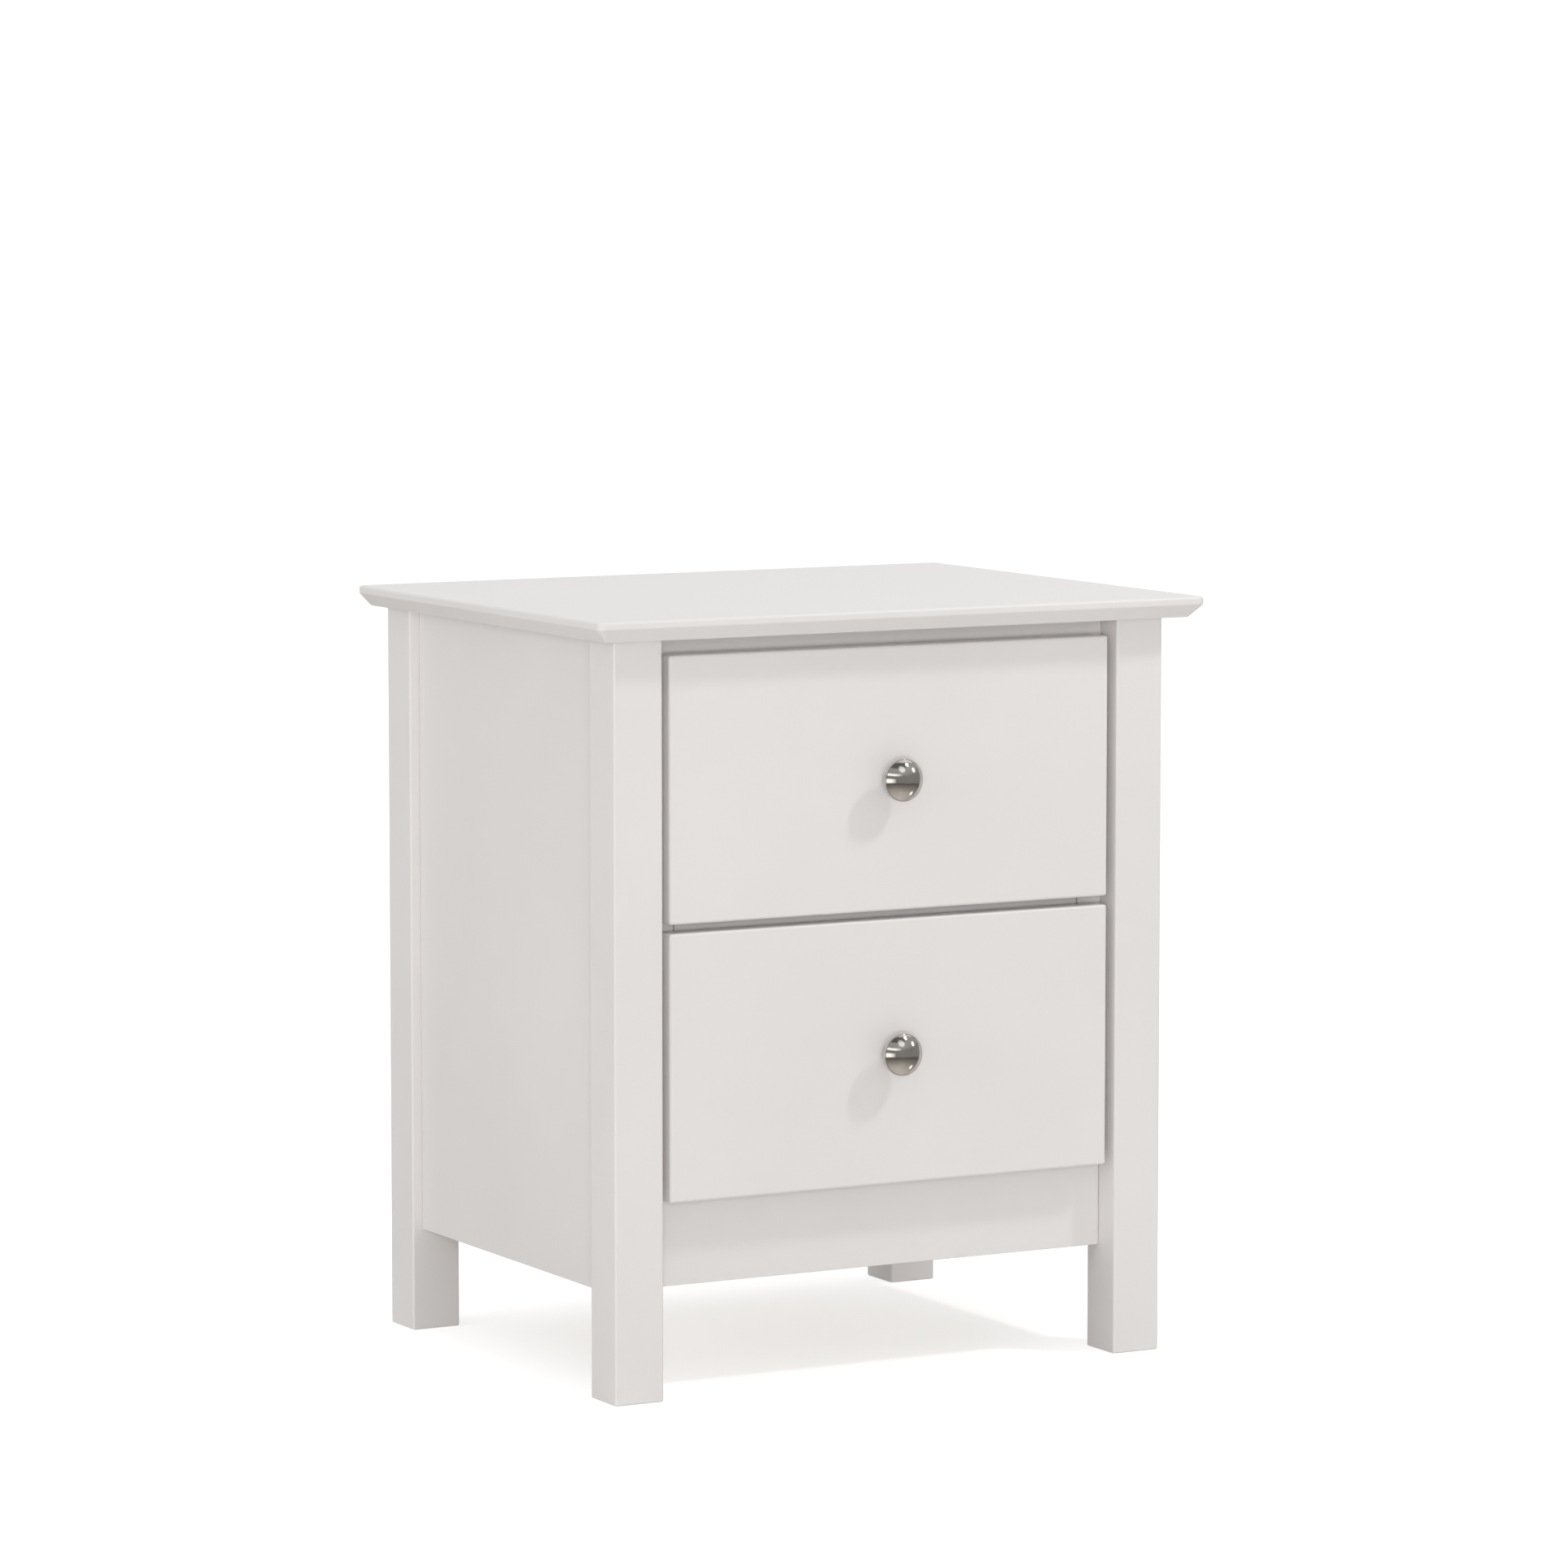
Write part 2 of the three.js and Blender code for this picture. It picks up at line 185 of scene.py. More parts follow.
def paint(axis="z", shade=1.0, key=""):
    """Satin off-white paint on wood: roller stipple, a faint telegraphed grain, uneven sheen."""
    name = f"satin_paint_{axis}{key}"
    if name in _made:
        return _made[name]
    t = Tree(name)
    grain_v = t.mapping(scale=GRAIN[axis])
    grain = t.noise(grain_v, 22.0, 6.0, 0.62, 0.25)
    cloud = t.noise(t.coords.outputs["Object"], 4.2, 3.0, 0.55)
    stipple = t.noise(t.coords.outputs["Object"], 620.0, 2.0, 0.5)
    a = tuple(c * shade for c in (0.802, 0.779, 0.767))
    b = tuple(c * shade for c in (0.830, 0.808, 0.796))
    tone = t.ramp(cloud, [(0.30, a), (0.70, b)])
    dark = tuple(c * shade for c in (0.765, 0.741, 0.726))
    vein = t.ramp(grain, [(0.30, (0.10, 0.10, 0.10)), (0.46, (0, 0, 0))])
    colour = t.mix(t.math("MULTIPLY", vein, 0.55), tone, dark)
    t.set(t.p, Base_Color=colour)
    rough = t.span(t.math("ADD", t.math("MULTIPLY", cloud, 0.7), t.math("MULTIPLY", grain, 0.3)), 0.36, 0.50, 0.3, 0.7)
    t.set(t.p, Roughness=rough)
    t.p.inputs["Specular IOR Level"].default_value = 0.42
    n = t.bump(grain, 0.35, 0.00012)
    n = t.bump(stipple, 0.22, 0.00005, n)
    t.set(t.p, Normal=n)
    _made[name] = t.mat
    return t.mat


def wood(name, axis, light, mid, dark, rough=(0.42, 0.58), scale=1.0, pores=0.5, seed=0.0):
    """Light hardwood: growth-ring figure, fine fibre streaks and short pores along the grain."""
    if name in _made:
        return _made[name]
    t = Tree(name)
    s = {"x": (0.55, 9.0, 9.0), "y": (9.0, 0.55, 9.0), "z": (9.0, 9.0, 0.55)}[axis]
    base = t.mapping(scale=tuple(k * scale for k in s), location=(seed, seed * 0.37, seed * 0.61))
    warp = t.noise(base, 1.6, 3.0, 0.5, 0.4)
    figure = t.noise(base, 3.4, 7.0, 0.62, 1.1)
    fine_v = t.mapping(scale=tuple((k if k < 1 else k * 9) for k in s), location=(seed, 0, seed))
    fibre = t.noise(fine_v, 9.0, 5.0, 0.6)
    c1 = t.ramp(figure, [(0.28, dark), (0.45, mid), (0.62, light), (0.80, mid)])
    c2 = t.mix(t.span(fibre, 0.0, 0.45, 0.35, 0.70), c1, dark)
    c3 = t.mix(t.span(warp, 0.0, 0.5, 0.3, 0.75), c2, light)
    pore_v = t.mapping(scale=tuple((k * 2.2 if k < 1 else k * 26) for k in s), location=(0, seed, 0))
    pore = t.noise(pore_v, 11.0, 2.0, 0.5)
    pore_mask = t.span(pore, pores, 0.0, 0.28, 0.37)
    c4 = t.mix(pore_mask, c3, tuple(c * 0.55 for c in dark))
    t.set(t.p, Base_Color=c4)
    t.set(t.p, Roughness=t.span(fibre, rough[0], rough[1], 0.3, 0.7))
    t.p.inputs["Specular IOR Level"].default_value = 0.4
    n = t.bump(fibre, 0.30, 0.00012)
    n = t.bump(pore_mask, 0.25, -0.00015, n)
    t.set(t.p, Normal=n)
    _made[name] = t.mat
    return t.mat


def plywood(name, seed=0.0):
    """Rotary-cut birch face: broad wavy cathedral figure and small flecks."""
    if name in _made:
        return _made[name]
    t = Tree(name)
    v = t.mapping(scale=(0.9, 5.0, 5.0), location=(seed, seed, 0))
    warp = t.noise(v, 1.3, 3.0, 0.5, 0.8)
    rings = t.wave(t.mapping(scale=(0.5, 5.5, 5.5), location=(seed, 0.2, 0)), 1.4, 5.5, 3.0, 1.2, "BANDS", "Y")
    fleck = t.noise(t.mapping(scale=(16, 90, 90)), 5.0, 3.0, 0.6)
    c = t.ramp(rings, [(0.0, (0.70, 0.52, 0.33)), (0.35, (0.78, 0.62, 0.42)), (0.75, (0.83, 0.69, 0.50)), (1.0, (0.76, 0.59, 0.39))])
    c = t.mix(t.span(warp, 0.0, 0.55, 0.3, 0.7), c, (0.80, 0.66, 0.47))
    c = t.mix(t.span(fleck, 0.28, 0.0, 0.30, 0.42), c, (0.55, 0.37, 0.21))
    t.set(t.p, Base_Color=c)
    t.set(t.p, Roughness=t.span(warp, 0.40, 0.54, 0.3, 0.7))
    t.set(t.p, Normal=t.bump(fleck, 0.22, 0.0001))
    _made[name] = t.mat
    return t.mat


def nickel():
    """Satin nickel plate: a grey warm metal with fine turning marks and a soft, uneven polish."""
    if "satin_nickel" in _made:
        return _made["satin_nickel"]
    t = Tree("satin_nickel")
    t.p.inputs["Metallic"].default_value = 1.0
    cloud = t.noise(t.coords.outputs["Object"], 110.0, 3.0, 0.55)
    micro = t.noise(t.mapping(scale=(1, 1, 1)), 1500.0, 3.0, 0.6)
    t.set(t.p, Base_Color=t.ramp(cloud, [(0.30, (0.555, 0.530, 0.492)), (0.70, (0.640, 0.617, 0.580))]))
    t.set(t.p, Roughness=t.span(t.math("ADD", t.math("MULTIPLY", cloud, 0.6), t.math("MULTIPLY", micro, 0.4)), 0.065, 0.115, 0.35, 0.65))
    t.set(t.p, Normal=t.bump(micro, 0.06, 0.00002))
    _made["satin_nickel"] = t.mat
    return t.mat


def zinc(name="zinc_steel", tint=(1.0, 1.0, 1.0)):
    """Bright zinc-plated strip steel: drawn along its length, faintly mottled."""
    if name in _made:
        return _made[name]
    t = Tree(name)
    t.p.inputs["Metallic"].default_value = 1.0
    drawn = t.noise(t.mapping(scale=(260, 1.2, 260)), 6.0, 3.0, 0.6)
    mottle = t.noise(t.coords.outputs["Object"], 45.0, 4.0, 0.6, 0.6)
    lo = tuple(a * b for a, b in zip((0.50, 0.52, 0.55), tint))
    hi = tuple(a * b for a, b in zip((0.68, 0.70, 0.72), tint))
    c = t.ramp(mottle, [(0.30, lo), (0.70, hi)])
    c = t.mix(t.span(drawn, 0.0, 0.35, 0.35, 0.70), c, tuple(k * 0.72 for k in lo))
    t.set(t.p, Base_Color=c)
    t.set(t.p, Roughness=t.span(t.math("ADD", t.math("MULTIPLY", drawn, 0.5), t.math("MULTIPLY", mottle, 0.5)), 0.24, 0.40, 0.35, 0.65))
    t.set(t.p, Normal=t.bump(drawn, 0.18, 0.00004))
    _made[name] = t.mat
    return t.mat


def silicone():
    """Clear soft bumper that has yellowed and hazed very slightly."""
    if "bumper" in _made:
        return _made["bumper"]
    t = Tree("bumper")
    haze = t.noise(t.coords.outputs["Object"], 260.0, 3.0, 0.6)
    t.set(t.p, Base_Color=t.ramp(haze, [(0.30, (0.72, 0.715, 0.69)), (0.70, (0.80, 0.795, 0.775))]))
    t.set(t.p, Roughness=t.span(haze, 0.30, 0.46, 0.3, 0.7))
    t.p.inputs["Subsurface Weight"].default_value = 0.25
    t.p.inputs["Subsurface Radius"].default_value = (0.004, 0.004, 0.0035)
    t.p.inputs["Subsurface Scale"].default_value = 0.4
    _made["bumper"] = t.mat
    return t.mat


# --------------------------------------------------------------- mesh helpers
def finish_mesh(name, bm, mat, body, nodes=(), weighted=True):
    bmesh.ops.remove_doubles(bm, verts=bm.verts, dist=1e-7)
    bmesh.ops.recalc_face_normals(bm, faces=bm.faces)
    me = bpy.data.meshes.new(name)
    bm.to_mesh(me)
    bm.free()
    for f in me.polygons:
        f.use_smooth = True
    ob = bpy.data.objects.new(name, me)
    bpy.context.scene.collection.objects.link(ob)
    me.materials.append(mat)
    if weighted:
        m = ob.modifiers.new("normals", "WEIGHTED_NORMAL")
        m.mode = "FACE_AREA"
        m.weight = 80
        m.keep_sharp = True
    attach(ob, body)
    if nodes:
        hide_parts(*nodes)
    return ob


def rounded_box(bm, lo, hi, r, segments=3):
    """Adds a box from lo to hi with every edge rounded to radius r."""
    made = bmesh.ops.create_cube(bm, size=1.0)["verts"]
    size = [b - a for a, b in zip(lo, hi)]
    mid = [(a + b) / 2 for a, b in zip(lo, hi)]
    for v in made:
        v.co = Vector([m + s * c for m, s, c in zip(mid, size, v.co)])
    edges = list({e for v in made for e in v.link_edges})
    if r > 0:
        bmesh.ops.bevel(bm, geom=edges, offset=r, offset_type="OFFSET", segments=segments, profile=0.5, affect="EDGES", clamp_overlap=True)


def loft(bm, rings, cap_start=True, cap_end=True):
    """Joins rings of points, all of one length, into a skin with end caps."""
    loops = [[bm.verts.new(p) for p in ring] for ring in rings]
    n = len(loops[0])
    for a, b in zip(loops, loops[1:]):
        for i in range(n):
            j = (i + 1) % n
            bm.faces.new((a[i], a[j], b[j], b[i]))
    if cap_start:
        bm.faces.new(list(reversed(loops[0])))
    if cap_end:
        bm.faces.new(loops[-1])
    return loops


def plan_ring(x0, x1, y0, y1, radii, z, steps=5):
    """A rectangle in plan with a radius at each corner: front-left, front-right, rear-right, rear-left."""
    pts = []
    corners = (
        (x0, y0, 1, 1, math.pi, radii[0]),
        (x1, y0, -1, 1, 1.5 * math.pi, radii[1]),
        (x1, y1, -1, -1, 0.0, radii[2]),
        (x0, y1, 1, -1, 0.5 * math.pi, radii[3]),
    )
    for cx, cy, sx, sy, a0, r in corners:
        ox, oy = cx + sx * r, cy + sy * r
        for k in range(steps + 1):
            a = a0 + (math.pi / 2) * k / steps
            pts.append((ox + r * math.cos(a), oy + r * math.sin(a), z))
    return pts


def lathe(bm, profile, segments, matrix=None, axis=None):
    """Turns a profile of (radius, height) about +Z; ends at radius 0 close to a point."""
    rings = []
    for r, h in profile:
        if r <= 1e-9:
            rings.append([bm.verts.new((0, 0, h))])
        else:
            rings.append([bm.verts.new((r * math.cos(2 * math.pi * k / segments), r * math.sin(2 * math.pi * k / segments), h)) for k in range(segments)])
    for a, b in zip(rings, rings[1:]):
        for k in range(segments):
            j = (k + 1) % segments
            if len(a) == 1 and len(b) == 1:
                continue
            if len(a) == 1:
                bm.faces.new((a[0], b[k], b[j]))
            elif len(b) == 1:
                bm.faces.new((a[k], a[j], b[0]))
            else:
                bm.faces.new((a[k], a[j], b[j], b[k]))
    if matrix is not None:
        bmesh.ops.transform(bm, matrix=matrix, verts=[v for ring in rings for v in ring])
    return rings


def box_of(node):
    lo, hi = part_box(node)
    return Vector(lo), Vector(hi)


def board(node, mat, r=0.0006, segments=2, ends=0.0):
    """A carried-over board with its true size and eased arrises, standing for its CAD node; ends opens its end joints."""
    lo, hi = box_of(node)
    lo.x += ends
    hi.x -= ends
    bm = bmesh.new()
    rounded_box(bm, lo, hi, r, segments)
    return finish_mesh(node + ".finished", bm, mat, BODY_OF[node], (node,))


# ------------------------------------------------------------------ tabletop
def make_tabletop():
    lo, hi = box_of("tabletop")
    x0, y0, z0 = lo
    x1, y1, z1 = hi
    edge = z1 - 6.2 * MM
    rings = []

    def ring(inset, rear, z, r):
        rings.append(plan_ring(x0 + inset, x1 - inset, y0 + inset, y1 - rear,
                               (max(r, 0.4 * MM), max(r, 0.4 * MM), 0.5 * MM, 0.5 * MM), z, 6))

    rc = 6.0 * MM
    b = 10.2 * MM
    # underside, small easing, the 45-degree under-bevel, easing, upright edge, round-over
    ring(b + 0.5 * MM, 0.5 * MM, z0, 0.4 * MM)
    ring(b + 0.15 * MM, 0.15 * MM, z0 + 0.12 * MM, 0.4 * MM)
    ring(b - 0.25 * MM, 0, z0 + 0.5 * MM, 0.4 * MM)
    ring(0.9 * MM, 0, edge - 1.0 * MM, rc - 0.6 * MM)
    ring(0.45 * MM, 0, edge - 0.45 * MM, rc - 0.3 * MM)
    ring(0.12 * MM, 0, edge + 0.05 * MM, rc)
    ring(0.0, 0, edge + 0.6 * MM, rc)
    q = 2.4 * MM
    ring(0.0, 0, z1 - q, rc)
    for k in range(1, 8):
        a = math.pi / 2 * k / 7
        ring(q * (1 - math.cos(a)), 0.6 * MM * (1 - math.cos(a)), z1 - q * (1 - math.sin(a)), max(rc - q * (1 - math.cos(a)), 0.9 * MM))
    bm = bmesh.new()
    loft(bm, rings)
    return finish_mesh("tabletop.finished", bm, paint("x"), "root", ("tabletop",))


def make_post(node):
    lo, hi = box_of(node)
    r = 1.8 * MM
    e = 1.0 * MM
    rings = []
    for inset, z in ((e, lo.z), (e * 0.35, lo.z + e * 0.3), (0, lo.z + e), (0, hi.z - 0.4 * MM), (0.4 * MM, hi.z)):
        rr = max(r - inset, 0.5 * MM)
        rings.append(plan_ring(lo.x + inset, hi.x - inset, lo.y + inset, hi.y - inset, (rr,) * 4, z, 5))
    bm = bmesh.new()
    loft(bm, rings)
    return finish_mesh(node + ".finished", bm, paint("z"), "root", (node,))


def make_front(level):
    node = f"drawer_front_{level}"
    lo, hi = box_of(node)
    bm = bmesh.new()
    rounded_box(bm, lo, hi, 2.2 * MM, 4)
    return finish_mesh(node + ".finished", bm, paint("x"), BODY_OF[node], (node,))


# --------------------------------------------------------------------- knobs
def make_knob(level):
    node = f"knob_{level}"
    lo, hi = box_of(node)
    cx, cz = (lo.x + hi.x) / 2, (lo.z + hi.z) / 2
    base = hi.y
    R = (hi.x - lo.x) / 2
    H = hi.y - lo.y
    mm = MM
    # foot, waist, flare, rounded rim; each pair is (radius, distance from the drawer)
    outline = [(0, 0.2), (2.2, 0.0), (7.9, 0.0), (8.3, 0.12), (8.55, 0.4), (8.6, 0.9), (8.45, 1.45), (8.0, 2.05), (7.35, 2.75),
               (6.75, 3.7), (6.4, 4.7), (6.28, 5.8), (6.4, 7.0), (6.85, 8.2), (7.8, 9.25), (9.1, 10.05), (10.7, 10.75), (12.4, 11.35),
               (13.9, 11.95), (15.0, 12.6), (15.8, 13.35), (16.35, 14.2), (16.68, 15.1), (16.8, 15.9), (16.8, 17.2), (16.74, 17.75),
               (16.6, 18.18), (16.44, 18.36), (16.34, 18.28), (16.29, 18.03), (16.23, 18.03), (16.18, 18.36), (16.14, 18.56)]
    prof = [(r * mm, z * mm) for r, z in outline]
    dome_r, dome_h = 16.1 * mm, 6.6 * mm
    n = 32
    for i in range(n + 1):
        u = math.cos(i / n * math.pi / 2) ** 0.9
        prof.append((0 if i == n else dome_r * u, H - dome_h * u ** 2.15))
    bm = bmesh.new()
    m = Matrix.Translation((cx, base, cz)) @ Matrix.Rotation(math.pi / 2, 4, "X")
    lathe(bm, prof, 112, m)
    return finish_mesh(node + ".finished", bm, nickel(), BODY_OF[node], (node,), weighted=False)


# -------------------------------------------------------------------- screws
def pan_head(bm, centre, direction, head_r, head_h, recess=True, slots=4, segments=28):
    """A screw's head with a cross recess, its flat underside at centre, pointing along direction."""
    prof = [(0.0, 0.0), (head_r * 0.98, 0.0), (head_r, head_h * 0.12), (head_r, head_h * 0.38), (head_r * 0.96, head_h * 0.62),
            (head_r * 0.84, head_h * 0.84), (head_r * 0.66, head_h * 0.97), (head_r * 0.52, head_h * 1.0)]
    rot = Vector((0, 0, 1)).rotation_difference(Vector(direction)).to_matrix().to_4x4()
    m = Matrix.Translation(centre) @ rot
    # the top is a cross-shaped pit: ring of points, alternately far and near, sunk into the head
    rings = lathe(bm, prof, segments, None)
    rim = rings[-1]
    arm, waist, depth = head_r * 0.46, head_r * 0.13, head_h * 0.62
    outer = []
    inner = []
    for k in range(segments):
        a = 2 * math.pi * k / segments
        c, s = abs(math.cos(a)), abs(math.sin(a))
        # a plus sign's outline in polar form
        reach = min(arm / max(c, s), max(waist / max(min(c, s), 1e-6), waist * 1.42))
        outer.append(bm.verts.new((reach * math.cos(a), reach * math.sin(a), head_h)))
        inner.append(bm.verts.new((reach * 0.62 * math.cos(a), reach * 0.62 * math.sin(a), head_h - depth)))
    for k in range(segments):
        j = (k + 1) % segments
        bm.faces.new((rim[k], rim[j], outer[j], outer[k]))
        bm.faces.new((outer[k], outer[j], inner[j], inner[k]))
    bm.faces.new(inner)
    verts = [v for ring in rings for v in ring] + outer + inner
    bmesh.ops.transform(bm, matrix=m, verts=verts)


def screws(name, places, body, mat, head_r=3.2 * MM, head_h=1.5 * MM):
    bm = bmesh.new()
    for centre, direction in places:
        pan_head(bm, centre, direction, head_r, head_h)
    return finish_mesh(name, bm, mat, body, ())


def knob_screw(level):
    node = f"knob_screw_{level}"
    lo, hi = box_of(node)
    cx, cz = (lo.x + hi.x) / 2, (lo.z + hi.z) / 2
    head_h = 2.4 * MM
    bm = bmesh.new()
    pan_head(bm, (cx, hi.y - head_h, cz), (0, 1, 0), (hi.x - lo.x) / 2, head_h, segments=36)
    # threaded shank, hidden in the wood and the knob
    prof = [(0, 0)]
    length = hi.y - head_h - lo.y
    steps = 44
    for k in range(steps + 1):
        z = 0.2 * MM + (length - 1.6 * MM) * k / steps
        prof.append(((2.0 if k % 2 else 1.7) * MM, z))
    prof += [(1.2 * MM, length - 0.6 * MM), (0, length)]
    m = Matrix.Translation((cx, hi.y - head_h, cz)) @ Matrix.Rotation(math.pi / 2, 4, "X")
    lathe(bm, prof, 20, m)
    return finish_mesh(node + ".finished", bm, zinc("screw_steel", (1.0, 0.96, 0.86)), BODY_OF[node], (node,))


def top_screw(node):
    lo, hi = box_of(node)
    cx, cy = (lo.x + hi.x) / 2, (lo.y + hi.y) / 2
    head_h = 2.2 * MM
    bm = bmesh.new()
    pan_head(bm, (cx, cy, lo.z + head_h), (0, 0, -1), (hi.x - lo.x) / 2, head_h, segments=32)
    length = hi.z - lo.z - head_h
    prof = [(0, 0)]
    steps = 26
    for k in range(steps + 1):
        z = 0.2 * MM + (length - 4.0 * MM) * k / steps
        prof.append(((1.8 if k % 2 else 1.3) * MM, z))
    prof += [(0.8 * MM, length - 1.6 * MM), (0, length)]
    lathe(bm, prof, 16, Matrix.Translation((cx, cy, lo.z + head_h)))
    return finish_mesh(node + ".finished", bm, zinc("screw_steel", (1.0, 0.96, 0.86)), BODY_OF[node], (node,))


# -------------------------------------------------------------------- slides
def strip(bm, section, y0, y1, closed=True, ends=0.0):
    """Carries a closed (x, z) section along Y."""
    rings = [[(x, y, z) for x, z in section] for y in (y0, y1)]
    loft(bm, rings)


def rolled(points, thickness):
    """Offsets an open (x, z) path by its thickness into a closed section."""
    out_l, out_r = [], []
    n = len(points)
    for i, (x, z) in enumerate(points):
        a = Vector(points[max(i - 1, 0)])
        b = Vector(points[min(i + 1, n - 1)])
        d = (b - a).normalized()
        nrm = Vector((-d.y, d.x)) * thickness / 2
        out_l.append((x + nrm.x, z + nrm.y))
        out_r.append((x - nrm.x, z - nrm.y))
    return out_l + out_r[::-1]


def arc(cx, cz, r, a0, a1, n=6):
    return [(cx + r * math.cos(math.radians(a0 + (a1 - a0) * k / n)), cz + r * math.sin(math.radians(a0 + (a1 - a0) * k / n))) for k in range(n + 1)]


def make_slides(level):
    side_z = {}
    for side, sx in (("left", -1), ("right", 1)):
        for part in ("outer", "middle", "inner"):
            node = f"slide_{part}_{level}_{side}"
            lo, hi = box_of(node)
            zc = (lo.z + hi.z) / 2
            half = (hi.z - lo.z) / 2
            t = 1.2 * MM
            # depth coordinate a runs from the web (0) to the open side (w)
            w = hi.x - lo.x
            # which x the web is at: outer and middle webs face the case, the inner's faces the drawer
            if part == "inner":
                web_x = lo.x if sx > 0 else hi.x
                step = sx
            else:
                web_x = hi.x if sx > 0 else lo.x
                step = -sx
            h = half - t / 2
            bend = 1.6 * MM
            path = []
            # upper lip, curved raceway, web, mirrored below
            lip = 0.0
            if part == "inner":
                upper = [(w - 0.05 * MM, h - 0.9 * MM), (w - 1.2 * MM, h - 0.25 * MM), (w - 2.6 * MM, h - 1.0 * MM), (w - 4.2 * MM, h - 0.25 * MM), (t / 2 + bend, h)]
            else:
                upper = [(w - 0.05 * MM, h - 1.0 * MM), (w - 1.2 * MM, h - 0.2 * MM), (w - 2.6 * MM, h), (t / 2 + bend + 0.6 * MM, h)]
            upper += [(t / 2 + bend * (1 - math.sin(math.radians(k))), h - bend * (1 - math.cos(math.radians(k)))) for k in (20, 45, 70)]
            upper += [(t / 2, h - bend)]
            pts = upper + [(a, -b) for a, b in reversed(upper)]
            section = rolled([(web_x + step * a, zc + b) for a, b in pts], t)
            bm = bmesh.new()
            strip(bm, section, lo.y, hi.y)
            ob = finish_mesh(node + ".finished", bm, zinc(), BODY_OF[node], (node,))
            side_z[(side, part)] = (lo, hi, zc, web_x, step)
    return side_z


# --------------------------------------------------------- fixings and bearings
def hole_shadow():
    """Painted shade: the near-black colour of flat plates that stand for the shaded inside of punched slots."""
    if "hole_shadow" in _made:
        return _made["hole_shadow"]
    t = Tree("hole_shadow")
    # painted shade: near-black, mottled at random between two dark tones
    slot_shade_mottle = t.noise(t.coords.outputs["Object"], 300.0, 3.0, 0.6)
    t.set(t.p, Base_Color=t.ramp(slot_shade_mottle, [(0.30, (0.018, 0.018, 0.019)), (0.70, (0.045, 0.044, 0.043))]))
    t.set(t.p, Roughness=t.span(slot_shade_mottle, 0.55, 0.8, 0.3, 0.7))
    _made["hole_shadow"] = t.mat
    return t.mat


def steel_balls():
    """Polished bearing balls with a film of grease."""
    if "ball_steel" in _made:
        return _made["ball_steel"]
    t = Tree("ball_steel")
    t.p.inputs["Metallic"].default_value = 1.0
    film = t.noise(t.coords.outputs["Object"], 420.0, 2.0, 0.5)
    t.set(t.p, Base_Color=t.ramp(film, [(0.30, (0.62, 0.61, 0.58)), (0.70, (0.74, 0.74, 0.73))]))
    t.set(t.p, Roughness=t.span(film, 0.10, 0.26, 0.3, 0.7))
    _made["ball_steel"] = t.mat
    return t.mat


def capsule_plate(bm, x, y, z, length, width, thick, steps=8):
    """A thin stadium-shaped plate lying in the (y, z) plane, centred at x."""
    r = width / 2
    half = max(length / 2 - r, 0.0)
    pts = []
    for k in range(steps + 1):
        a = -math.pi / 2 + math.pi * k / steps
        pts.append((y + half + r * math.cos(a), z + r * math.sin(a)))
    for k in range(steps + 1):
        a = math.pi / 2 + math.pi * k / steps
        pts.append((y - half + r * math.cos(a), z + r * math.sin(a)))
    loft(bm, [[(x - thick / 2, py, pz) for py, pz in pts], [(x + thick / 2, py, pz) for py, pz in pts]])


def ball(bm, centre, r):
    made = bmesh.ops.create_icosphere(bm, subdivisions=2, radius=r)["verts"]
    bmesh.ops.translate(bm, verts=made, vec=centre)


def ball_race(name, x, rows, y0, y1, r, strip_w, body, count=9):
    """Balls in their retainer strips, one row above and one below the slide's centre line."""
    bm = bmesh.new()
    for z in rows:
        for k in range(count):
            ball(bm, (x, y0 + (y1 - y0) * (k + 0.5) / count, z), r)
    finish_mesh(name + "_balls", bm, steel_balls(), body, (), weighted=False)
    bm = bmesh.new()
    for z in rows:
        rounded_box(bm, (x - strip_w / 2, y0, z - 0.35 * MM), (x + strip_w / 2, y1, z + 0.35 * MM), 0.15 * MM, 1)
    finish_mesh(name + "_retainer", bm, zinc(), body, ())


